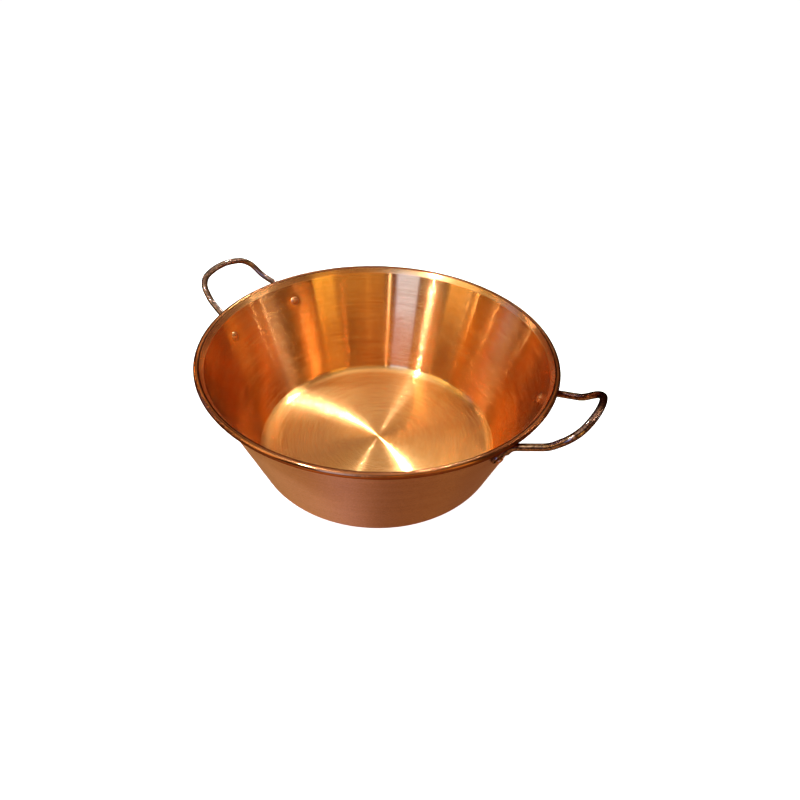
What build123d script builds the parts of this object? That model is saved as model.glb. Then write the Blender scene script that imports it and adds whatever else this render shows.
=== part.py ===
"""Copper jam pan: a wide spun bowl with a wired rim and two riveted rod handles.

The underside rests on z = 0 with the pan's axis on Z. The handles stand out along +X and -X.
Lengths are in millimetres and angles in degrees.
"""

import os
from math import cos, radians, sin, tan

from build123d import *

# Bowl, spun from one disc of sheet; base_diameter is where the wall's line meets the table
rim_diameter = 380.0
pan_height = 137.0
base_diameter = 280.0
wall_lean = 18.0
sheet = 1.5
corner_radius = 14.5

# Rim: the sheet flares a little, then curls outwards round a steel wire
curl_bore = 3.4
wire_diameter = 3.3
rim_flare = 15.0
flare_bend_radius = 4.5
curl_turn = 298.0

# Handle: a bent round rod whose two ends are flattened into pads
rod_diameter = 7.0
pad_width = 13.0
pad_thickness = 3.4
pad_edge_radius = 1.0
pad_gap = 0.1
neck_width = 9.4
taper_start = 4.5
taper_end = 11.5
foot_length = 18.0
foot_tilt = 22.0
foot_bend_radius = 12.0
knee_reach, knee_half_width, knee_height = 208.4, 42.2, 137.1
knee_bend_radius = 30.0
corner_reach, corner_half_width, corner_height = 226.4, 36.8, 155.3
corner_bend_radius = 23.0
grip_reach, grip_height = 233.3, 162.6
grip_bow_radius = 80.0

# Rivets: rivet_angle is to each side of a handle's middle, seen from above
rivet_angle = 17.3
rivet_height = 109.8
shank_diameter = 4.6
shank_clearance = 0.05
inner_head_diameter = 11.0
inner_head_height = 2.8
outer_head_diameter = 7.4
outer_head_height = 2.8
outer_head_chamfer = 0.6

# Where the repeated pieces stand round the pan, as turns from +X. The handles are set by hand,
# each a little to the front of a true diameter.
handle_skew = 0.9
handle_turns = {"right_handle": -handle_skew, "left_handle": 180 + handle_skew}
rivet_turns = {
    "right_front_rivet": -handle_skew - rivet_angle,
    "right_back_rivet": -handle_skew + rivet_angle,
    "left_back_rivet": 180 + handle_skew - rivet_angle,
    "left_front_rivet": 180 + handle_skew + rivet_angle,
}

# The rim's bead, as its outside radius and the place of its centre
bead_radius = curl_bore / 2 + sheet
bead_reach = rim_diameter / 2 - bead_radius
bead_height = pan_height - bead_radius

# The sheet's middle line runs along the floor, round the corner, up the leaning wall, out in
# the flare and round in the curl. The wall and the flare have the lengths that bring the
# curl's centre to the bead's.
corner_turn = 90 - wall_lean
middle_corner = corner_radius - sheet / 2
middle_curl = (curl_bore + sheet) / 2
floor_reach = base_diameter / 2 - corner_radius * tan(radians(corner_turn / 2))
bead_out = bead_reach - floor_reach - middle_corner * sin(radians(corner_turn))
bead_up = bead_height - corner_radius + middle_corner * cos(radians(corner_turn))
along_wall = bead_out * sin(radians(wall_lean)) + bead_up * cos(radians(wall_lean))
off_wall = bead_out * cos(radians(wall_lean)) - bead_up * sin(radians(wall_lean))
flare_sin, flare_cos = sin(radians(rim_flare)), cos(radians(rim_flare))
flare_rise = off_wall - flare_bend_radius * (1 - flare_cos) - middle_curl * flare_cos
flare_length = flare_rise / flare_sin
wall_length = along_wall - flare_length * flare_cos - (flare_bend_radius - middle_curl) * flare_sin


def outer_wall_reach(height):
    """Distance from the axis to the wall's outer face at a height."""
    return base_diameter / 2 + height * tan(radians(wall_lean))


def wall_plane(turn, height, tilt=0):
    """Plane on the wall's outer face: X points up the wall, tilted sideways, and Z out of it."""
    facing = Vector(cos(radians(turn)), sin(radians(turn)), 0)
    lean = radians(wall_lean)
    up_wall = facing * sin(lean) + Vector(0, 0, cos(lean))
    out = facing * cos(lean) - Vector(0, 0, sin(lean))
    seat = facing * outer_wall_reach(height) + Vector(0, 0, height)
    return Plane(origin=seat, x_dir=up_wall.rotate(Axis((0, 0, 0), out), tilt), z_dir=out)


def sheet_face(offset):
    """Draw one face of the sheet, offset from its middle line towards the inside of the pan."""
    floor = Line((0, sheet / 2 + offset), (floor_reach, sheet / 2 + offset))
    corner = JernArc(floor @ 1, floor % 1, middle_corner - offset, corner_turn)
    wall = PolarLine(corner @ 1, wall_length, direction=corner % 1)
    bend = JernArc(wall @ 1, wall % 1, flare_bend_radius + offset, -rim_flare)
    flare = PolarLine(bend @ 1, flare_length, direction=bend % 1)
    curl = JernArc(flare @ 1, flare % 1, middle_curl + offset, -curl_turn)
    return floor @ 0, curl @ 1


# Bowl: the sheet's section turned about the axis, with a hole for each rivet
with BuildPart() as bowl:
    with BuildSketch(Plane.XZ):
        with BuildLine():
            inner_start, inner_end = sheet_face(sheet / 2)
            outer_start, outer_end = sheet_face(-sheet / 2)
            Line(inner_start, outer_start)
            Line(inner_end, outer_end)
        make_face()
    revolve(axis=Axis.Z)
    for turn in rivet_turns.values():
        with BuildSketch(wall_plane(turn, rivet_height)):
            Circle(shank_diameter / 2 + shank_clearance)
        extrude(amount=2 * sheet, both=True, mode=Mode.SUBTRACT)
bowl.part.label = "bowl"

# Steel wire held in the curl
with BuildPart() as rim_wire:
    with BuildSketch(Plane.XZ):
        with Locations((bead_reach, bead_height)):
            Circle(wire_diameter / 2)
    revolve(axis=Axis.Z)
rim_wire.part.label = "rim_wire"


def foot_plane(side):
    """Plane under a foot of the handle on +X: X runs up the foot, from the rivet's axis."""
    return wall_plane(side * rivet_angle, rivet_height, side * foot_tilt).offset(pad_gap)


def half_rod(side):
    """Corners of the rod's line on one side of the handle on +X, from the foot to the grip."""
    foot = foot_plane(side)
    return [
        foot.from_local_coords((taper_end, 0, rod_diameter / 2)),
        foot.from_local_coords((foot_length, 0, rod_diameter / 2)),
        Vector(knee_reach, side * knee_half_width, knee_height),
        Vector(corner_reach, side * corner_half_width, corner_height),
    ]


def section_plane(foot, distance):
    """Plane across a foot at a distance from its rivet: X runs across it and Y off the wall."""
    across = foot.from_local_coords((distance, 0, 0))
    return Plane(origin=across, x_dir=foot.y_dir, z_dir=foot.x_dir)


# Handle on +X: the swept rod, and at each end a loft that flattens it into a drilled round pad
bend_radii = [foot_bend_radius, knee_bend_radius, corner_bend_radius]
with BuildPart() as handle:
    with BuildLine() as rod_line:
        FilletPolyline(
            [*half_rod(-1), Vector(grip_reach, 0, grip_height), *reversed(half_rod(1))],
            radius=[*bend_radii, grip_bow_radius, *reversed(bend_radii)],
        )
    with BuildSketch(Plane(origin=rod_line.line @ 0, z_dir=rod_line.line % 0)):
        Circle(rod_diameter / 2)
    sweep(path=rod_line.line)
    for side in (-1, 1):
        foot = foot_plane(side)
        with BuildSketch(foot):
            Circle(pad_width / 2)
        extrude(amount=pad_thickness)
        fillet(handle.edges(Select.LAST).filter_by(GeomType.CIRCLE), pad_edge_radius)
        with BuildSketch(section_plane(foot, taper_start)):
            with Locations((0, pad_thickness / 2)):
                RectangleRounded(neck_width, pad_thickness, pad_edge_radius)
        with BuildSketch(section_plane(foot, taper_end)):
            with Locations((0, rod_diameter / 2)):
                Circle(rod_diameter / 2)
        loft()
        with BuildSketch(foot):
            Circle(shank_diameter / 2 + shank_clearance)
        extrude(amount=pad_thickness, mode=Mode.SUBTRACT)

# Rivet along Z, with z = 0 on the wall's outer face. Its domed head is inside the pan. The dome
# is flat beneath, so two edges of it touch the hollow side of the wall.
wall_hollow_radius = (outer_wall_reach(rivet_height) - sheet) / cos(radians(wall_lean))
inner_seat = -sheet - inner_head_diameter**2 / 8 / wall_hollow_radius
outer_seat = pad_gap + pad_thickness
outer_top = outer_seat + outer_head_height
with BuildPart() as rivet:
    with BuildSketch(Plane.XZ):
        with BuildLine():
            dome_top = (0, inner_seat - inner_head_height)
            dome_edge = (inner_head_diameter / 2, inner_seat)
            TangentArc(dome_top, dome_edge, tangent=(1, 0))
            Polyline(
                dome_edge,
                (shank_diameter / 2, inner_seat),
                (shank_diameter / 2, outer_seat),
                (outer_head_diameter / 2, outer_seat),
                (outer_head_diameter / 2, outer_top - outer_head_chamfer),
                (outer_head_diameter / 2 - outer_head_chamfer, outer_top),
                (0, outer_top),
                dome_top,
            )
        make_face()
    revolve(axis=Axis.Z)

os.makedirs("parts", exist_ok=True)
export_step(bowl.part, "parts/bowl.step")
export_step(rim_wire.part, "parts/rim_wire.step")
for name, turn in handle_turns.items():
    placed = handle.part.rotate(Axis.Z, turn)
    placed.label = name
    export_step(placed, f"parts/{name}.step")
for name, turn in rivet_turns.items():
    placed = rivet.part.moved(wall_plane(turn, rivet_height).location)
    placed.label = name
    export_step(placed, f"parts/{name}.step")
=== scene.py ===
"""Looks of the copper jam pan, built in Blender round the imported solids.

The bowl, the rim wire and the rivets are turned from profiles. The handles are bent from round
rod, with a flat pad at each foot. Lengths are in metres, angles in degrees, and turns are
counted from +X.
"""

import logging
from collections.abc import Callable
from dataclasses import dataclass, replace
from enum import Enum, IntEnum
from math import atan2, cos, degrees, hypot, pi, radians, sin, tan

import bpy
from mathutils import Matrix, Vector


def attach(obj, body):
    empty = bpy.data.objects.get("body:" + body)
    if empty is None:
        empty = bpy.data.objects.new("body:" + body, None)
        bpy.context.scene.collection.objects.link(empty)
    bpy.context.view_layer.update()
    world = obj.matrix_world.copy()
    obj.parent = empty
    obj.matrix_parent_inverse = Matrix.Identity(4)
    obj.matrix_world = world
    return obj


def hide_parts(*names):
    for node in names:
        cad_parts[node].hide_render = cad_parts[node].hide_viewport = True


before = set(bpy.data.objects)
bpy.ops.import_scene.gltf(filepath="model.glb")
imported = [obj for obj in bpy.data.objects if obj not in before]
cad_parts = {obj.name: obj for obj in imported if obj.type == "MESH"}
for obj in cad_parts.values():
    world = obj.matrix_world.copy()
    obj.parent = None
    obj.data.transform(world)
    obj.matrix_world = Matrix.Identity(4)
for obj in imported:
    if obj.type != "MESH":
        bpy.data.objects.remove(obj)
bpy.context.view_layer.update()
MM = 0.001
# Points closer together than this are one point
MERGE = 1e-6
# Where the rivets are: above the table, and to each side of a handle's middle
RIVET_HEIGHT = 109.8 * MM
RIVET_SPREAD = 17.3
# How far each handle stands to the front of a true diameter
HANDLE_SKEW = 0.9
# The middle part of smooth noise, stretched to run from 0 to 1 for soft marks and clear ones
SOFT_MARKS = (0.3, 0.7)
CLEAR_MARKS = (0.35, 0.65)
# Turn that lays the streak of a highlight across the grooves
QUARTER_TURN = 0.25
log = logging.getLogger("jam_pan")

Point = tuple[float, float]
Triple = tuple[float, float, float]
Colour = tuple[float, float, float]
Socket = bpy.types.NodeSocket
Feed = Socket | float | tuple[float, ...]


class Slot(Enum):
    """The record's material slots."""

    COPPER = "copper"
    STEEL_WIRE = "steel_wire"
    HANDLE_BRONZE = "handle_bronze"
    RIVET_COPPER = "rivet_copper"


def deselect_all() -> None:
    """Leave object mode and deselect every object."""
    if bpy.context.object and bpy.context.object.mode != "OBJECT":
        bpy.ops.object.mode_set(mode="OBJECT")
    bpy.ops.object.select_all(action="DESELECT")


def activate(piece: bpy.types.Object) -> None:
    """Make one object the only selected one, and the active one.

    Args:
        piece: The object.
    """
    deselect_all()
    piece.select_set(True)
    bpy.context.view_layer.objects.active = piece


def settle(piece: bpy.types.Object) -> None:
    """Move an object's place into its mesh, so that it sits unturned at the origin."""
    activate(piece)
    bpy.ops.object.transform_apply(location=True, rotation=True, scale=True)


def place(piece: bpy.types.Object, matrix: Matrix) -> None:
    """Put an object where a matrix says, and settle it there."""
    piece.matrix_world = matrix @ piece.matrix_world
    settle(piece)


def copies(
    pattern: bpy.types.Object, prefix: str, places: dict[str, Matrix]
) -> list[bpy.types.Object]:
    """Set a copy of a pattern in each place, with a mesh of its own, and remove the pattern.

    Args:
        pattern: The object to copy.
        prefix: What each copy's name begins with.
        places: The place of each copy, by the rest of its name.

    Returns:
        The copies.
    """
    made = []
    for name, matrix in places.items():
        activate(pattern)
        bpy.ops.object.duplicate(linked=False)
        copy = bpy.context.object
        copy.name = copy.data.name = prefix + name
        place(copy, matrix)
        made.append(copy)
    bpy.data.objects.remove(pattern)
    return made


def smooth(piece: bpy.types.Object, angle: float = 40.0) -> None:
    """Shade an object smooth, but for edges sharper than an angle."""
    activate(piece)
    bpy.ops.object.shade_smooth_by_angle(angle=radians(angle))


def apply_modifier(piece: bpy.types.Object, kind: str, **settings: object) -> None:
    """Add a modifier to an object and apply it.

    Args:
        piece: The object.
        kind: The modifier's type.
        **settings: The modifier's settings.
    """
    activate(piece)
    modifier = piece.modifiers.new(kind.lower(), kind)
    for key, value in settings.items():
        setattr(modifier, key, value)
    bpy.ops.object.modifier_apply(modifier=modifier.name)


def face_outwards(piece: bpy.types.Object, merge: float = 0.0) -> None:
    """Merge an object's doubled points, and turn its faces outwards.

    Args:
        piece: The object.
        merge: Distance within which points are merged, or 0 to leave them all.
    """
    activate(piece)
    bpy.ops.object.mode_set(mode="EDIT")
    bpy.ops.mesh.select_all(action="SELECT")
    if merge:
        bpy.ops.mesh.remove_doubles(threshold=merge)
    bpy.ops.mesh.normals_make_consistent(inside=False)
    bpy.ops.object.mode_set(mode="OBJECT")


def select_points(piece: bpy.types.Object, wanted: Callable[[Vector], bool]) -> None:
    """Open an object in edit mode, with only some of its points selected.

    Args:
        piece: The object.
        wanted: Test that a point's place has to pass.
    """
    activate(piece)
    bpy.ops.object.mode_set(mode="EDIT")
    bpy.ops.mesh.select_mode(type="VERT")
    bpy.ops.mesh.select_all(action="DESELECT")
    bpy.ops.object.mode_set(mode="OBJECT")
    for vertex in piece.data.vertices:
        vertex.select = wanted(vertex.co)
    bpy.ops.object.mode_set(mode="EDIT")


class Profile:
    """A line drawn as a pen moves: straight runs and bends, kept as points of (reach, height)."""

    def __init__(self, start: Point, heading: float) -> None:
        """Put the pen down at a point, with a heading from the outward direction."""
        self.points: list[Point] = [start]
        self.heading = radians(heading)

    def run(self, length: float, steps: int) -> "Profile":
        """Draw a straight run.

        Args:
            length: Length of the run.
            steps: Equal steps along it.

        Returns:
            The profile.
        """
        x, z = self.points[-1]
        for step in range(1, steps + 1):
            far = length * step / steps
            self.points.append((x + far * cos(self.heading), z + far * sin(self.heading)))
        return self

    def bend(self, radius: float, turn: float, steps: int) -> "Profile":
        """Draw an arc.

        Args:
            radius: The arc's radius.
            turn: How far the heading turns, positive to the left.
            steps: Equal steps along it.

        Returns:
            The profile.
        """
        side = 1 if turn > 0 else -1
        x, z = self.points[-1]
        centre = (x - side * radius * sin(self.heading), z + side * radius * cos(self.heading))
        start = atan2(z - centre[1], x - centre[0])
        for step in range(1, steps + 1):
            angle = start + radians(turn) * step / steps
            self.points.append((centre[0] + radius * cos(angle), centre[1] + radius * sin(angle)))
        self.heading += radians(turn)
        return self


def turned(
    name: str, points: list[Point], segments: int, closed: bool = False
) -> bpy.types.Object:
    """Turn a profile about the Z axis, as on a lathe.

    Args:
        name: The piece's name.
        points: The profile, as (reach, height) from its first point to its last.
        segments: Steps round the axis.
        closed: Whether the last point joins the first.

    Returns:
        The turned piece, with its normals outwards.
    """
    deselect_all()
    start = Vector((points[0][0], 0, points[0][1]))
    bpy.ops.mesh.primitive_plane_add(size=MM, location=start)
    piece = bpy.context.object
    piece.name = piece.data.name = name
    settle(piece)
    bpy.ops.object.mode_set(mode="EDIT")
    bpy.ops.mesh.select_all(action="SELECT")
    bpy.ops.mesh.merge(type="CENTER")
    path = points + points[:1] if closed else points
    for near, far in zip(path, path[1:]):
        step = (far[0] - near[0], 0, far[1] - near[1])
        bpy.ops.mesh.extrude_region_move(TRANSFORM_OT_translate={"value": step})
    bpy.ops.mesh.select_all(action="SELECT")
    bpy.ops.mesh.spin(steps=segments, angle=2 * pi, center=(0, 0, 0), axis=(0, 0, 1))
    face_outwards(piece, MERGE)
    return piece


class NodeBench:
    """A node tree, with short ways to add nodes and join them."""

    def __init__(self, tree: bpy.types.NodeTree) -> None:
        """Work on a tree."""
        self.tree = tree

    def add(self, kind: str, **settings: object) -> bpy.types.Node:
        """Add a shader node.

        Args:
            kind: The node's type, without the words that all shader nodes begin with.
            **settings: The node's properties.

        Returns:
            The node.
        """
        node = self.tree.nodes.new("ShaderNode" + kind)
        for key, value in settings.items():
            setattr(node, key, value)
        return node

    def join(self, source: Feed, node: bpy.types.Node, name: str | int) -> None:
        """Feed a node's input.

        Args:
            source: A socket to link to it, or its value.
            node: The node.
            name: The input's name or number.
        """
        if isinstance(source, Socket):
            self.tree.links.new(source, node.inputs[name])
        else:
            node.inputs[name].default_value = source

    def maths(self, operation: str, first: Feed, second: Feed = 0.0) -> Socket:
        """Work on one or two numbers.

        Args:
            operation: What to do with them.
            first: The first number.
            second: The second number, where the operation has one.

        Returns:
            The result.
        """
        node = self.add("Math", operation=operation)
        self.join(first, node, 0)
        self.join(second, node, 1)
        return node.outputs[0]

    def vectors(self, operation: str, first: Feed, second: Feed) -> Socket:
        """Work on two vectors.

        Args:
            operation: What to do with them.
            first: The first vector.
            second: The second vector.

        Returns:
            The result: a number for a dot product, or else a vector.
        """
        node = self.add("VectorMath", operation=operation)
        self.join(first, node, 0)
        self.join(second, node, 1)
        return node.outputs["Value" if operation == "DOT_PRODUCT" else "Vector"]

    def scaled(self, source: Feed, low: float, high: float) -> Socket:
        """Spread a number that runs from 0 to 1 over a range.

        Args:
            source: The number.
            low: What 0 becomes.
            high: What 1 becomes.

        Returns:
            The spread number.
        """
        node = self.add("MapRange")
        self.join(source, node, "Value")
        self.join(low, node, "To Min")
        self.join(high, node, "To Max")
        return node.outputs["Result"]

    def contrast(self, source: Feed, low: float, high: float) -> Socket:
        """Stretch a part of a number's range to run from 0 to 1.

        Args:
            source: The number.
            low: What becomes 0, with all below it.
            high: What becomes 1, with all above it.

        Returns:
            The stretched number.
        """
        node = self.add("MapRange")
        self.join(source, node, "Value")
        self.join(low, node, "From Min")
        self.join(high, node, "From Max")
        return node.outputs["Result"]

    def noise(self, vector: Feed, scale: float, detail: float, rough: float = 0.5) -> Socket:
        """Add smooth noise.

        Args:
            vector: The place to read it at.
            scale: Cells of noise per unit of the vector.
            detail: How many finer layers it has.
            rough: How strong each finer layer is.

        Returns:
            The noise, which stays mostly near 0.5.
        """
        node = self.add("TexNoise")
        self.join(vector, node, "Vector")
        self.join(scale, node, "Scale")
        self.join(detail, node, "Detail")
        self.join(rough, node, "Roughness")
        return node.outputs["Fac"]

    def blend(self, share: Feed, first: Socket | Colour, second: Socket | Colour) -> Socket:
        """Mix two colours.

        Args:
            share: How much of the second colour shows, from 0 to 1.
            first: The first colour.
            second: The second colour.

        Returns:
            The mixed colour.
        """
        node = self.add("Mix", data_type="RGBA")
        self.join(share, node, "Factor")
        for name, colour in (("A", first), ("B", second)):
            self.join(colour if isinstance(colour, Socket) else (*colour, 1), node, name)
        return node.outputs["Result"]

    def ramp(self, share: Feed, stops: dict[float, Colour]) -> Socket:
        """Turn a number into a colour.

        Args:
            share: The number.
            stops: The colours at rising values of the number, three or more.

        Returns:
            The colour.
        """
        node = self.add("ValToRGB")
        self.join(share, node, "Fac")
        first, *middle, last = stops.items()
        elements = node.color_ramp.elements
        for element, (position, colour) in zip(elements, (first, last)):
            element.position = position
            element.color = (*colour, 1)
        for position, colour in middle:
            elements.new(position).color = (*colour, 1)
        return node.outputs["Color"]


class MaterialBench(NodeBench):
    """A material's nodes, round one principled shader."""

    def __init__(self, name: str) -> None:
        """Start a material.

        Args:
            name: The material's name.
        """
        self.material = bpy.data.materials.new(name)
        self.material.use_nodes = True
        super().__init__(self.material.node_tree)
        self.shader = self.tree.nodes["Principled BSDF"]

    def feed(self, name: str, source: Feed) -> None:
        """Feed the shader's input of a name."""
        self.join(source, self.shader, name)

    def own_place(self) -> Socket:
        """Give the place on the piece, in metres."""
        return self.add("TexCoord").outputs["Object"]

    def round_place(self, wander: float) -> Socket:
        """Give places for marks that run round the Z axis.

        Args:
            wander: Cells of noise per radian round the axis.

        Returns:
            A vector that changes slowly round the axis, and by the metre across the marks.
        """
        parts = self.add("SeparateXYZ")
        self.join(self.own_place(), parts, 0)
        x, y, z = parts.outputs
        squares = self.maths("ADD", self.maths("MULTIPLY", x, x), self.maths("MULTIPLY", y, y))
        reach = self.maths("SQRT", squares)
        safe = self.maths("MAXIMUM", reach, 1e-5)
        joined = self.add("CombineXYZ")
        self.join(self.maths("MULTIPLY", self.maths("DIVIDE", x, safe), wander), joined, 0)
        self.join(self.maths("MULTIPLY", self.maths("DIVIDE", y, safe), wander), joined, 1)
        self.join(self.maths("ADD", reach, z), joined, 2)
        return joined.outputs[0]

    def crosswise(self, marks: Socket, per_metre: float) -> Socket:
        """Count the places of round marks in marks, by how many lie side by side in a metre."""
        return self.vectors("MULTIPLY", marks, (1, 1, per_metre))

    def slanted(self, normal: Feed, along: Feed, slope: Feed) -> Socket:
        """Lean a normal sideways, across the marks that run along a direction.

        Args:
            normal: The normal before it leans.
            along: The direction of the marks.
            slope: How far it leans, as the tangent of the angle.

        Returns:
            The leaning normal.
        """
        sideways = self.add("VectorMath", operation="SCALE")
        self.join(self.vectors("CROSS_PRODUCT", normal, along), sideways, 0)
        self.join(slope, sideways, "Scale")
        unit = self.add("VectorMath", operation="NORMALIZE")
        self.join(self.vectors("ADD", normal, sideways.outputs[0]), unit, 0)
        return unit.outputs[0]

    def bumped(self, height: Feed, depth: float) -> Socket:
        """Raise the surface.

        Args:
            height: The height, from 0 to 1.
            depth: How high 1 is.

        Returns:
            The normal of the raised surface.
        """
        node = self.add("Bump")
        self.join(height, node, "Height")
        self.join(1.0, node, "Strength")
        self.join(depth, node, "Distance")
        return node.outputs["Normal"]

    def metal(self, painted_edge_shade: Colour) -> None:
        """Make the shader metal, tinted where it is seen edge on: a dark tint there paints shade along
        its outlines.
        """
        self.feed("Metallic", 1.0)
        self.feed("Specular Tint", (*painted_edge_shade, 1))


@dataclass(frozen=True)
class TurnedMetal:
    """Metal with a finish that runs round the Z axis, as it comes off a lathe.

    Its grooves lean the surface this way and that, which draws a highlight out across them. A
    share of the grooves is rough, which lays a haze round the highlight's sharp core. Bands and
    clouds vary the colour, and so do specks, by the share that speckle gives.
    """

    name: str
    pale: Colour
    deep: Colour
    roughness: tuple[float, float]
    anisotropy: float
    groove: float = 0.5 * MM
    groove_slope: float = 0.05
    band: float = 4.5 * MM
    rough_share: float = 0.5
    speckle: float = 0.0
    # Tint where the metal is seen edge on; a dark one is painted shade along its outlines
    painted_edge_shade: Colour = (1.0, 1.0, 1.0)
    wander: float = 2.0
    cloud_scale: float = 14.0
    speck_scale: float = 650.0
    rough_scale: float = 1.3
    rough_squeeze: float = 0.77
    rough_range: float = 0.35
    rough_edge: float = 0.04

    def material(self) -> bpy.types.Material:
        """Make the finish.

        Returns:
            The material.
        """
        bench = MaterialBench(self.name)
        marks = bench.round_place(self.wander)
        tangent = bench.add("Tangent", direction_type="RADIAL", axis="Z").outputs[0]
        bench.feed("Base Color", bench.blend(self.tone(bench, marks), self.deep, self.pale))
        bench.feed("Roughness", bench.scaled(self.rough(bench, marks), *self.roughness))
        bench.feed("Normal", self.grooved(bench, marks, tangent))
        bench.feed("Tangent", tangent)
        bench.feed("Anisotropic", self.anisotropy)
        bench.feed("Anisotropic Rotation", QUARTER_TURN)
        bench.metal(self.painted_edge_shade)
        return bench.material

    def tone(self, bench: MaterialBench, marks: Socket) -> Socket:
        """Vary the colour in bands, clouds and perhaps specks.

        Args:
            bench: The material's nodes.
            marks: Places for marks that run round the axis.

        Returns:
            How pale the metal is, from 0 to 1.
        """
        bands = bench.noise(bench.crosswise(marks, 1 / self.band), 1.0, 3.0)
        clouds = bench.noise(bench.own_place(), self.cloud_scale, 3.0)
        tone = bench.maths("MULTIPLY", bench.maths("ADD", bands, clouds), 0.5)
        if self.speckle:
            specks = bench.noise(bench.own_place(), self.speck_scale, 2.0, 0.6)
            plain = bench.maths("MULTIPLY", tone, 1 - self.speckle)
            tone = bench.maths("ADD", plain, bench.maths("MULTIPLY", specks, self.speckle))
        return bench.contrast(tone, *SOFT_MARKS)

    def rough(self, bench: MaterialBench, marks: Socket) -> Socket:
        """Tell the rough grooves from the polished ones.

        Args:
            bench: The material's nodes.
            marks: Places for marks that run round the axis.

        Returns:
            1 on a rough groove and 0 on a polished one, with a short slope between.
        """
        grooves = bench.crosswise(marks, self.rough_squeeze / self.groove)
        coarse = bench.noise(grooves, self.rough_scale, 2.0, 0.6)
        level = 0.5 + self.rough_range * (0.5 - self.rough_share)
        return bench.contrast(coarse, level - self.rough_edge, level + self.rough_edge)

    def grooved(self, bench: MaterialBench, marks: Socket, tangent: Socket) -> Socket:
        """Lean the surface across its grooves, most of them a little and a few steeply.

        Args:
            bench: The material's nodes.
            marks: Places for marks that run round the axis.
            tangent: The direction of the grooves.

        Returns:
            The leaning normal.
        """
        fine = bench.noise(bench.crosswise(marks, 1 / self.groove), 1.0, 2.0, 0.6)
        swing = bench.scaled(bench.contrast(fine, *SOFT_MARKS), -1.0, 1.0)
        steep = bench.maths("MULTIPLY", swing, bench.maths("ABSOLUTE", swing))
        slope = bench.maths("MULTIPLY", steep, self.groove_slope)
        return bench.slanted(bench.add("NewGeometry").outputs["Normal"], tangent, slope)


@dataclass(frozen=True)
class WorkedMetal:
    """Metal with a mottled, handled surface: bent rod, drawn wire or a hammered head."""

    name: str
    pale: Colour
    deep: Colour
    roughness: tuple[float, float]
    mottle: float
    dent: float
    dent_depth: float
    # Tint where the metal is seen edge on; a dark one is painted shade along its outlines
    painted_edge_shade: Colour = (1.0, 1.0, 1.0)

    def material(self) -> bpy.types.Material:
        """Make the finish.

        Returns:
            The material.
        """
        bench = MaterialBench(self.name)
        spots = bench.noise(bench.own_place(), 1 / self.mottle, 4.0, 0.6)
        share = bench.contrast(spots, *CLEAR_MARKS)
        dents = bench.noise(bench.own_place(), 1 / self.dent, 1.0)
        bench.feed("Base Color", bench.blend(share, self.deep, self.pale))
        bench.feed("Roughness", bench.scaled(share, *self.roughness))
        bench.feed("Normal", bench.bumped(dents, self.dent_depth))
        bench.metal(self.painted_edge_shade)
        return bench.material


# Inside wall: the same copper as the floor, its colour painted darker as shade on the wall
WALL_COPPER = TurnedMetal(
    "turned_wall_copper_painted_shade", (0.91, 0.49, 0.19), (0.67, 0.29, 0.09), (0.14, 0.32), 1.0,
    groove=0.022 * MM, groove_slope=0.65, band=1.3 * MM, rough_share=0.15,
)
FLOOR_COPPER = TurnedMetal(
    "turned_floor_copper", (0.97, 0.52, 0.19), (0.88, 0.41, 0.13), (0.16, 0.44), 1.0,
    groove=0.022 * MM, groove_slope=0.85, band=0.9 * MM, rough_share=0.32,
)
# Outside of the bowl: a rougher satin finish, with its colour painted darker than the inside's copper
# as shade
OUTSIDE_COPPER = TurnedMetal(
    "satin_copper_painted_shade", (0.72, 0.37, 0.23), (0.46, 0.20, 0.11), (0.32, 0.44), 0.9,
    groove=0.03 * MM, groove_slope=0.5, speckle=0.55,
)
FLARE_COPPER = TurnedMetal(
    "worn_flare_copper", (0.86, 0.43, 0.17), (0.70, 0.28, 0.09), (0.20, 0.36), 0.8,
    groove=0.03 * MM, groove_slope=0.2,
)
# Rolled rim: the bowl's own copper painted far darker as shade, with its edges painted near black
RIM_COPPER = TurnedMetal(
    "rim_copper_painted_shade", (0.54, 0.19, 0.07), (0.18, 0.05, 0.02), (0.14, 0.26), 0.4,
    painted_edge_shade=(0.12, 0.06, 0.05),
)
# Handles: the near-black edge-on tint is painted shade, dark outlines along the rods
BRONZE = WorkedMetal(
    "brown_bronze", (0.40, 0.23, 0.175), (0.08, 0.038, 0.027), (0.09, 0.22),
    2.4 * MM, 2.2 * MM, 0.04 * MM, painted_edge_shade=(0.06, 0.04, 0.03),
)
RIVET_COPPER = WorkedMetal(
    "hammered_copper", (0.82, 0.36, 0.15), (0.46, 0.16, 0.06), (0.24, 0.38),
    1.6 * MM, 2.2 * MM, 0.15 * MM,
)
WIRE_STEEL = WorkedMetal(
    "drawn_steel", (0.50, 0.49, 0.48), (0.30, 0.28, 0.27), (0.30, 0.45),
    1.0 * MM, 0.8 * MM, 0.01 * MM,
)


class Skin(IntEnum):
    """The parts of the bowl's surface, numbered as its materials are."""

    WALL = 0
    OUTSIDE = 1
    RIM = 2
    FLOOR = 3
    FLARE = 4


SKIN_FINISHES = {
    Skin.WALL: WALL_COPPER,
    Skin.OUTSIDE: OUTSIDE_COPPER,
    Skin.RIM: RIM_COPPER,
    Skin.FLOOR: FLOOR_COPPER,
    Skin.FLARE: FLARE_COPPER,
}


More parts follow.
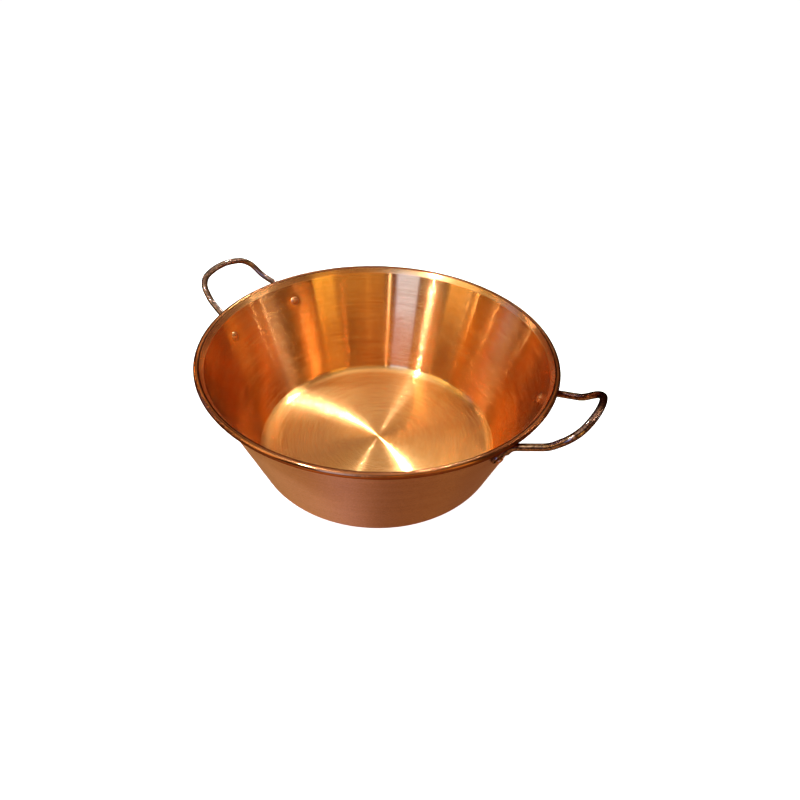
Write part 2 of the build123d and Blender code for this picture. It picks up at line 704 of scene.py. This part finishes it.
@dataclass
class Bowl:
    """The spun copper bowl, with the wire that its rim is curled round."""

    rim_diameter: float = 380 * MM
    height: float = 137 * MM
    base_diameter: float = 280 * MM
    wall_lean: float = 18.0
    sheet: float = 1.5 * MM
    corner_radius: float = 14.5 * MM
    curl_bore: float = 3.4 * MM
    wire_diameter: float = 3.3 * MM
    rim_flare: float = 15.0
    flare_bend_radius: float = 4.5 * MM
    curl_turn: float = 298.0
    dimple_size: float = 13 * MM
    dimple_depth: float = 0.35 * MM
    floor_steps: int = 8
    corner_steps: int = 12
    wall_steps: int = 40
    segments: int = 360
    wire_sides: int = 24
    wire_segments: int = 240

    @property
    def bead_radius(self) -> float:
        """Outside radius of the rolled rim."""
        return self.curl_bore / 2 + self.sheet

    @property
    def bead_centre(self) -> Point:
        """Reach and height of the rolled rim's middle."""
        return self.rim_diameter / 2 - self.bead_radius, self.height - self.bead_radius

    @property
    def flare_start(self) -> float:
        """Height at which the wall begins to flare into the rim."""
        return self.sheet_line()[self.floor_steps + self.corner_steps + self.wall_steps][1]

    def outer_reach(self, height: float) -> float:
        """Distance from the axis to the wall's outer face at a height."""
        return self.base_diameter / 2 + height * tan(radians(self.wall_lean))

    def wall_matrix(self, turn: float, height: float, tilt: float = 0.0) -> Matrix:
        """Give the place on the wall's outer face for a piece that sits there.

        Args:
            turn: Turn round the pan.
            height: Height above the table.
            tilt: How far the piece leans sideways on the wall.

        Returns:
            A matrix whose X runs up the wall and whose Z runs out of it.
        """
        lean = radians(self.wall_lean)
        facing = Vector((cos(radians(turn)), sin(radians(turn)), 0))
        out = facing * cos(lean) - Vector((0, 0, sin(lean)))
        straight_up = facing * sin(lean) + Vector((0, 0, cos(lean)))
        up_wall = Matrix.Rotation(radians(tilt), 3, out) @ straight_up
        matrix = Matrix((up_wall, out.cross(up_wall), out)).transposed().to_4x4()
        matrix.translation = facing * self.outer_reach(height) + Vector((0, 0, height))
        return matrix

    def sheet_line(self) -> list[Point]:
        """Draw the middle line of the sheet from the axis to the end of the curl.

        Returns:
            The line's points, as (reach, height).
        """
        corner = 90 - self.wall_lean
        middle_corner = self.corner_radius - self.sheet / 2
        middle_curl = (self.curl_bore + self.sheet) / 2
        floor = self.base_diameter / 2 - self.corner_radius * tan(radians(corner / 2))
        lean_sin, lean_cos = sin(radians(self.wall_lean)), cos(radians(self.wall_lean))
        flare_sin, flare_cos = sin(radians(self.rim_flare)), cos(radians(self.rim_flare))
        bead_out = self.bead_centre[0] - floor - middle_corner * sin(radians(corner))
        bead_up = self.bead_centre[1] - self.corner_radius + middle_corner * cos(radians(corner))
        along = bead_out * lean_sin + bead_up * lean_cos
        off = bead_out * lean_cos - bead_up * lean_sin
        rise = off - self.flare_bend_radius * (1 - flare_cos) - middle_curl * flare_cos
        flare = rise / flare_sin
        wall = along - flare * flare_cos - (self.flare_bend_radius - middle_curl) * flare_sin
        line = Profile((0.0, self.sheet / 2), 0)
        line.run(floor, self.floor_steps).bend(middle_corner, corner, self.corner_steps)
        line.run(wall, self.wall_steps).bend(self.flare_bend_radius, -self.rim_flare, 4)
        line.run(flare, 3).bend(middle_curl, -self.curl_turn, 26)
        return line.points

    def dimple(self, piece: bpy.types.Object, turn: float, height: float) -> None:
        """Press the wall gently inwards round a rivet.

        Args:
            piece: The bowl before it has its thickness.
            turn: Turn of the rivet round the pan.
            height: Height of the rivet.
        """
        seat = self.wall_matrix(turn, height)
        centre, out = seat.translation, seat.to_3x3().col[2]
        for vertex in piece.data.vertices:
            away = (vertex.co - centre).length / self.dimple_size
            if away < 1:
                vertex.co -= out * self.dimple_depth * (1 - away**2) ** 2

    def build(self, rivets: "Rivets") -> bpy.types.Object:
        """Turn the bowl, dimple it at the rivets and give it its thickness.

        Args:
            rivets: The rivets, which say where the dimples are.

        Returns:
            The bowl.
        """
        bowl = turned("copper_bowl", self.sheet_line(), self.segments)
        for turn in rivets.turns.values():
            self.dimple(bowl, turn, rivets.height)
        for skin in Skin:
            bowl.data.materials.append(SKIN_FINISHES[skin].material())
        apply_modifier(
            bowl, "SOLIDIFY", thickness=self.sheet, offset=0.0, use_even_offset=True,
            use_rim=True, material_offset=Skin.OUTSIDE - Skin.WALL,
        )
        self.share_out_skins(bowl)
        smooth(bowl, angle=50)
        return bowl

    def share_out_skins(self, bowl: bpy.types.Object) -> None:
        """Give the floor, the flare and the rolled rim their own finishes.

        Args:
            bowl: The bowl, whose inner face has the wall's finish all over.
        """
        reach, height = self.bead_centre
        floor_top, flare_start = self.corner_radius / 2, self.flare_start
        just_outside = self.bead_radius * 1.02
        for face in bowl.data.polygons:
            x, y, z = face.center
            if face.material_index == Skin.WALL and z < floor_top:
                face.material_index = Skin.FLOOR
            if face.material_index == Skin.WALL and z > flare_start:
                face.material_index = Skin.FLARE
            away = hypot(hypot(x, y) - reach, z - height)
            if away < just_outside and z > height - self.bead_radius:
                face.material_index = Skin.RIM

    def wire(self) -> bpy.types.Object:
        """Turn the wire inside the curl.

        Returns:
            The wire.
        """
        reach, height = self.bead_centre
        radius, steps = self.wire_diameter / 2, self.wire_sides - 1
        ring = Profile((reach + radius, height), 90).bend(radius, 360 * steps / self.wire_sides, steps)
        wire = turned("steel_rim_wire", ring.points, self.wire_segments, closed=True)
        wire.data.materials.append(WIRE_STEEL.material())
        smooth(wire)
        return wire


@dataclass
class Rivets:
    """The four copper rivets: a domed head inside the pan and a small flat one outside.

    The lips are how far the heads' edges are drawn in, where they are rounded.
    """

    turns: dict[str, float]
    height: float = RIVET_HEIGHT
    shank: float = 4.6 * MM
    inner_head: float = 11.0 * MM
    inner_rise: float = 2.8 * MM
    inner_gap: float = 0.08 * MM
    inner_lip: float = 0.1 * MM
    dome_share: float = 0.96
    outer_head: float = 7.4 * MM
    outer_rise: float = 2.8 * MM
    outer_seat: float = 3.5 * MM
    seat_lip: float = 0.15 * MM
    top_lip: float = 0.18 * MM
    edge: float = 0.25 * MM
    chamfer: float = 0.6 * MM
    dome_steps: int = 10
    sides: int = 32

    def outline(self, sheet: float) -> list[Point]:
        """Draw half of a rivet's section, along Z from z = 0 on the wall's outer face.

        Args:
            sheet: Thickness of the wall.

        Returns:
            The section's points, from the top of the dome to the middle of the small head.
        """
        radius, rise = self.inner_head / 2, self.inner_rise
        ball = (radius**2 + rise**2) / (2 * rise)
        seat = -sheet - self.inner_gap
        reach = degrees(2 * atan2(rise, radius))
        dome = Profile((0.0, seat - rise), 0).bend(ball, reach * self.dome_share, self.dome_steps)
        side, top = self.outer_head / 2, self.outer_seat + self.outer_rise
        return dome.points + [
            (radius, seat - self.edge),
            (radius - self.inner_lip, seat),
            (self.shank / 2, seat),
            (self.shank / 2, self.outer_seat),
            (side - self.seat_lip, self.outer_seat),
            (side, self.outer_seat + self.edge),
            (side, top - self.chamfer),
            (side - self.top_lip, top - self.edge),
            (side - self.chamfer, top),
            (0.0, top),
        ]

    def build(self, bowl: Bowl) -> list[bpy.types.Object]:
        """Turn one rivet, and set a copy of it at each place.

        Args:
            bowl: The bowl whose wall they go through.

        Returns:
            The rivets.
        """
        pattern = turned("rivet_pattern", self.outline(bowl.sheet), self.sides)
        pattern.data.materials.append(RIVET_COPPER.material())
        smooth(pattern)
        places = {name: bowl.wall_matrix(turn, self.height) for name, turn in self.turns.items()}
        return copies(pattern, "copper_", places)


@dataclass
class Handles:
    """The two handles, bent from round rod, each with its feet flattened into pads.

    A foot's own lengths are counted up the foot from its rivet. The knee, the corner and the
    grip's middle are where the rod's line would bend if it were sharp, on the handle at +X.
    """

    turns: dict[str, float]
    rod: float = 7.0 * MM
    pad_width: float = 13.0 * MM
    pad_thickness: float = 3.4 * MM
    pad_edge: float = 1.0 * MM
    pad_gap: float = 0.1 * MM
    neck_start: float = -2.5 * MM
    neck_width: float = 9.4 * MM
    neck_share: float = 0.97
    taper: tuple[float, float] = (4.5 * MM, 11.5 * MM)
    foot_length: float = 18.0 * MM
    foot_tilt: float = 22.0
    foot_turn: float = RIVET_SPREAD
    knee: Triple = (208.4 * MM, 42.2 * MM, 137.1 * MM)
    corner: Triple = (226.4 * MM, 36.8 * MM, 155.3 * MM)
    grip: Triple = (233.3 * MM, 0.0, 162.6 * MM)
    bend_radii: tuple[float, float, float, float] = (12 * MM, 30 * MM, 23 * MM, 80 * MM)
    sides: int = 32
    pad_sides: int = 48
    taper_steps: int = 8
    bend_step: float = 5.0

    def foot_place(self, bowl: Bowl) -> Matrix:
        """Give the place of the foot on the +Y side, a hair off the bowl's wall."""
        seat = bowl.wall_matrix(self.foot_turn, RIVET_HEIGHT, self.foot_tilt)
        return seat @ Matrix.Translation((0, 0, self.pad_gap))

    def foot(self) -> bpy.types.Object:
        """Model a foot along X on the plane z = 0: the squashed neck as far as the full rod.

        The neck is a little thinner than the pad that it runs into.

        Returns:
            The foot, open at both ends.
        """
        start, end = self.taper
        narrow = self.neck_width / self.rod
        flat = self.pad_thickness / self.rod * self.neck_share
        deselect_all()
        bpy.ops.mesh.primitive_circle_add(
            vertices=self.sides, radius=self.rod / 2, fill_type="NGON",
            location=(self.neck_start, 0, self.pad_thickness / 2), rotation=(0, pi / 2, 0),
        )
        foot = bpy.context.object
        settle(foot)
        bpy.ops.object.mode_set(mode="EDIT")
        bpy.ops.mesh.select_all(action="SELECT")
        bpy.ops.transform.resize(value=(1, narrow, flat))
        move = (start - self.neck_start, 0, 0)
        bpy.ops.mesh.extrude_region_move(TRANSFORM_OT_translate={"value": move})
        last = (narrow, flat, self.pad_thickness / 2)
        for step in range(1, self.taper_steps + 1):
            share = step / self.taper_steps
            share = share * share * (3 - 2 * share)
            wide = narrow + (1 - narrow) * share
            thick = flat + (1 - flat) * share
            middle = self.pad_thickness / 2 + (self.rod - self.pad_thickness) / 2 * share
            move = ((end - start) / self.taper_steps, 0, middle - last[2])
            bpy.ops.mesh.extrude_region_move(TRANSFORM_OT_translate={"value": move})
            bpy.ops.transform.resize(value=(1, wide / last[0], thick / last[1]))
            last = (wide, thick, middle)
        bpy.ops.mesh.delete(type="ONLY_FACE")
        bpy.ops.object.mode_set(mode="OBJECT")
        return foot

    def pad(self) -> bpy.types.Object:
        """Model the round pad, flat beneath on the plane z = 0, with its edges rounded.

        Returns:
            The pad.
        """
        deselect_all()
        bpy.ops.mesh.primitive_cylinder_add(
            vertices=self.pad_sides, radius=self.pad_width / 2, depth=self.pad_thickness,
            location=(0, 0, self.pad_thickness / 2),
        )
        pad = bpy.context.object
        settle(pad)
        apply_modifier(
            pad, "BEVEL", width=self.pad_edge, segments=4, limit_method="ANGLE",
            angle_limit=radians(50),
        )
        return pad

    def rod_line(self, foot: Matrix) -> list[Vector]:
        """Draw the rod's line with sharp corners.

        Args:
            foot: The place of the foot on the +Y side.

        Returns:
            The line's points, from the end of that foot's taper to the first corner beyond the
            grip's middle.
        """
        near = foot @ Vector((self.taper[1], 0, self.rod / 2))
        far = foot @ Vector((self.foot_length, 0, self.rod / 2))
        x, y, z = self.corner
        return [near, far, *map(Vector, (self.knee, self.corner, self.grip, (x, -y, z)))]

    def bend_rod(self, half: bpy.types.Object, foot: Matrix) -> None:
        """Draw the rod on from the open end of a foot, round its bends to the grip's middle.

        Args:
            half: The foot, in its place.
            foot: The place of the foot.
        """
        line = self.rod_line(foot)
        up_foot, slack = foot.to_3x3().col[0], 0.01 * MM
        select_points(half, lambda point: (point - line[0]).dot(up_foot) > -slack)
        here = line[0]
        for index, radius in enumerate(self.bend_radii, start=1):
            corner = line[index]
            ahead = (corner - line[index - 1]).normalized()
            after = (line[index + 1] - corner).normalized()
            angle = ahead.angle(after)
            back = radius * tan(angle / 2)
            start = corner - ahead * back
            bpy.ops.mesh.extrude_region_move(TRANSFORM_OT_translate={"value": start - here})
            axis = ahead.cross(after).normalized()
            centre = start + axis.cross(ahead) * radius
            share = 0.5 if index == len(self.bend_radii) else 1.0
            steps = max(4, round(degrees(angle) * share / self.bend_step))
            bpy.ops.mesh.spin(steps=steps, angle=-angle * share, center=centre, axis=axis)
            here = corner + after * back
        bpy.ops.object.mode_set(mode="OBJECT")

    def build(self, bowl: Bowl) -> list[bpy.types.Object]:
        """Bend half a handle, mirror it, join its pads, and set a copy on each side of the pan.

        Args:
            bowl: The bowl that the handles are riveted to.

        Returns:
            The handles.
        """
        foot_place = self.foot_place(bowl)
        pattern = self.foot()
        place(pattern, foot_place)
        self.bend_rod(pattern, foot_place)
        pad = self.pad()
        place(pad, foot_place)
        across = (False, True, False)
        apply_modifier(pattern, "MIRROR", use_axis=across, merge_threshold=0.02 * MM)
        apply_modifier(pad, "MIRROR", use_axis=across, use_mirror_merge=False)
        face_outwards(pattern, MERGE)
        face_outwards(pad)
        apply_modifier(pattern, "BOOLEAN", operation="UNION", object=pad, solver="EXACT")
        bpy.data.objects.remove(pad)
        pattern.data.materials.clear()
        pattern.data.materials.append(BRONZE.material())
        smooth(pattern, angle=35)
        turns = self.turns.items()
        places = {name: Matrix.Rotation(radians(turn), 4, "Z") for name, turn in turns}
        return copies(pattern, "bronze_", places)


@dataclass(frozen=True)
class Lamp:
    """A flat lamp that faces the pan. Its place is counted from the point that it faces."""

    name: str
    turn: float
    elevation: float
    distance: float
    width: float
    height: float
    brightness: float
    colour: Colour

    def build(self, aim: Vector) -> None:
        """Hang the lamp and turn it to face a point.

        Args:
            aim: The point.
        """
        turn, elevation = radians(self.turn), radians(self.elevation)
        flat = cos(elevation)
        towards = Vector((flat * cos(turn), flat * sin(turn), sin(elevation)))
        data = bpy.data.lights.new(self.name, "AREA")
        data.shape = "RECTANGLE"
        data.size, data.size_y = self.width, self.height
        data.energy = self.brightness * pi * self.width * self.height
        data.color = self.colour
        lamp = bpy.data.objects.new(self.name, data)
        lamp.location = aim + towards * self.distance
        lamp.rotation_euler = towards.to_track_quat("Z", "Y").to_euler()
        bpy.context.scene.collection.objects.link(lamp)


def window(name: str, turn: float, width: float, brightness: float, colour: Colour) -> Lamp:
    """Make a broad lamp that looks down at the pan, as a window does."""
    return Lamp(name, turn, 46, 2.4, width, 1.1, brightness, colour)


def tall_strip(turn: float, width: float, brightness: float, colour: Colour) -> Lamp:
    """Make a narrow upright lamp that draws a streak from the rim across the base."""
    return Lamp(f"tall_strip_{turn:.0f}", turn, 28, 1.6, width, 1.2, brightness, colour)


def upright(turn: float, width: float, brightness: float, colour: Colour) -> Lamp:
    """Make a low upright lamp that draws a streak or a band down the wall."""
    return Lamp(f"upright_{turn:.0f}", turn, 22, 1.6, width, 0.9, brightness, colour)


LAMPS = (
    Lamp("back_lamp", 80.3, 49.7, 1.11, 0.04, 0.04, 840, (0.76, 0.92, 1.00)),
    Lamp("front_left_lamp", 221.5, 55, 1.3, 0.07, 0.07, 1020, (0.85, 0.92, 1.00)),
    Lamp("ceiling", 180, 89, 2.6, 2.4, 2.4, 1.05, (0.95, 1.00, 0.90)),
    window("front_window", 225, 2.2, 0.8, (0.55, 0.95, 0.90)),
    window("side_window", 180, 1.6, 0.9, (0.90, 0.85, 0.30)),
    window("back_window", 90, 1.8, 0.4, (1.00, 0.95, 0.90)),
    window("far_window", 45, 1.8, 0.6, (1.00, 0.90, 0.50)),
    Lamp("side_glow", 113, 36.5, 2.4, 1.3, 0.14, 2.0, (1.00, 0.80, 0.35)),
    tall_strip(15, 0.012, 27, (0.90, 0.95, 0.90)),
    tall_strip(6.5, 0.014, 27, (0.90, 0.92, 0.90)),
    upright(348, 0.30, 0.18, (1.00, 0.70, 0.30)),
    upright(339, 0.014, 3, (1.00, 0.90, 0.65)),
    upright(317, 0.42, 1.95, (1.00, 0.78, 0.20)),
    upright(290, 1.10, 0.75, (1.00, 0.66, 0.18)),
    upright(283, 0.12, 0.2, (1.00, 0.70, 0.25)),
    upright(266.5, 0.02, 11, (0.85, 0.98, 1.00)),
    upright(252.5, 0.45, 6.8, (0.19, 0.37, 1.00)),
    upright(213, 0.42, 1.7, (1.00, 0.70, 0.26)),
    upright(204, 0.012, 12, (1.00, 0.85, 0.50)),
    upright(198, 0.014, 17, (1.00, 0.85, 0.50)),
    upright(180, 0.014, 17, (1.00, 0.88, 0.65)),
    upright(167, 0.25, 1.6, (0.20, 0.31, 1.00)),
    upright(147, 0.014, 40, (1.00, 0.92, 0.80)),
)
# Colours of the room low down, by how far a direction faces its pale side, and higher up
ROOM_BELOW = {0.0: (0.38, 0.20, 0.09), 0.34: (0.90, 0.52, 0.16), 0.9: (0.30, 0.24, 0.17)}
ROOM_ABOVE = (0.08, 0.028, 0.012)


@dataclass
class Studio:
    """The pale floor and backdrop, the room, the lamps and the camera.

    The turns of the lamps and of the room's pale side are counted from the camera's own right
    hand. The room's line is where its lower colours end and its upper ones begin, as the sine of
    the angle above the horizon.
    """

    turn_of_photo: float = 31.25
    lamps_face: Triple = (0.0, 0.0, 133.8 * MM)
    pale_side: float = 190.0
    room_line: Point = (-0.16, -0.08)
    camera_place: Triple = (269.1 * MM, -395.1 * MM, 451.4 * MM)
    camera_dip: float = 39.36
    camera_roll: float = 3.07
    lens: float = 24.0
    sensor: float = 36.0
    shift: Point = (-0.000625, 0.000625)
    floor_drop: float = 0.2 * MM
    floor_reach: float = 20.0
    sweep_radius: float = 20.0
    backdrop_radius: float = 40.0

    def floor(self) -> None:
        """Lay a wide pale floor that sweeps up into a pale backdrop all round."""
        line = Profile((0.0, -self.floor_drop), 0).run(self.floor_reach, 4)
        line.bend(self.sweep_radius, 90, 16).bend(self.backdrop_radius, 90, 24)
        floor = turned("studio_floor", line.points, 96)
        smooth(floor)
        floor.visible_glossy = floor.visible_diffuse = floor.visible_shadow = False
        bench = MaterialBench("pale_floor")
        bench.feed("Base Color", (0.86, 0.85, 0.84, 1))
        bench.feed("Roughness", 0.9)
        bench.feed("Specular IOR Level", 0.1)
        bench.feed("Emission Color", (1, 1, 1, 1))
        bench.feed("Emission Strength", 1.0)
        floor.data.materials.append(bench.material)

    def room(self) -> None:
        """Light the pan softly from the room: dim and warm, and paler low down on one side."""
        world = bpy.data.worlds.new("studio")
        bpy.context.scene.world = world
        world.use_nodes = True
        bench = NodeBench(world.node_tree)
        direction = bench.add("TexCoord").outputs["Generated"]
        parts = bench.add("SeparateXYZ")
        bench.join(direction, parts, 0)
        turn = radians(self.pale_side + self.turn_of_photo)
        side = bench.vectors("DOT_PRODUCT", direction, (cos(turn), sin(turn), 0))
        above = bench.contrast(parts.outputs["Z"], *self.room_line)
        colour = bench.blend(above, bench.ramp(side, ROOM_BELOW), ROOM_ABOVE)
        bench.join(colour, world.node_tree.nodes["Background"], "Color")

    def light(self) -> None:
        """Hang the lamps round the pan."""
        for lamp in LAMPS:
            replace(lamp, turn=lamp.turn + self.turn_of_photo).build(Vector(self.lamps_face))

    def camera(self) -> None:
        """Set the camera up at the photograph's angle."""
        data = bpy.data.cameras.new("camera")
        data.lens = self.lens
        data.sensor_width = self.sensor
        data.shift_x, data.shift_y = self.shift
        camera = bpy.data.objects.new("camera", data)
        turn = Matrix.Rotation(radians(self.turn_of_photo), 4, "Z")
        tip = Matrix.Rotation(radians(90 - self.camera_dip), 4, "X")
        roll = Matrix.Rotation(radians(self.camera_roll), 4, "Z")
        camera.matrix_world = Matrix.Translation(self.camera_place) @ turn @ tip @ roll
        bpy.context.scene.collection.objects.link(camera)
        bpy.context.scene.camera = camera

    def build(self) -> None:
        """Set up everything that isn't part of the pan."""
        self.floor()
        self.room()
        self.light()
        self.camera()
        bpy.context.scene.view_settings.view_transform = "Standard"


def hand_over(piece: bpy.types.Object, slot: Slot, *nodes: str) -> None:
    """Tie a finished piece to the pan's one body, and report it.

    Args:
        piece: The piece.
        slot: Its material slot in the record; not used.
        *nodes: The solids that it stands for.
    """
    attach(piece, "root")
    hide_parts(*nodes)
    faces = len(piece.data.polygons)
    log.info("%s: %d faces, stands for %s", piece.name, faces, ", ".join(nodes))


def main() -> None:
    """Build the pan and the studio, and log each piece's faces."""
    logging.basicConfig(level=logging.INFO, format="%(name)s: %(message)s")
    handle_turns = {"right_handle": -HANDLE_SKEW, "left_handle": 180 + HANDLE_SKEW}
    rivet_turns = {
        "right_front_rivet": -HANDLE_SKEW - RIVET_SPREAD,
        "right_back_rivet": -HANDLE_SKEW + RIVET_SPREAD,
        "left_back_rivet": 180 + HANDLE_SKEW - RIVET_SPREAD,
        "left_front_rivet": 180 + HANDLE_SKEW + RIVET_SPREAD,
    }
    bowl, rivets, handles = Bowl(), Rivets(rivet_turns), Handles(handle_turns)
    hand_over(bowl.build(rivets), Slot.COPPER, "bowl")
    hand_over(bowl.wire(), Slot.STEEL_WIRE, "rim_wire")
    for handle, node in zip(handles.build(bowl), handle_turns):
        hand_over(handle, Slot.HANDLE_BRONZE, node)
    for rivet, node in zip(rivets.build(bowl), rivet_turns):
        hand_over(rivet, Slot.RIVET_COPPER, node)
    Studio().build()
    bpy.context.view_layer.update()


if __name__ == "__main__":
    main()
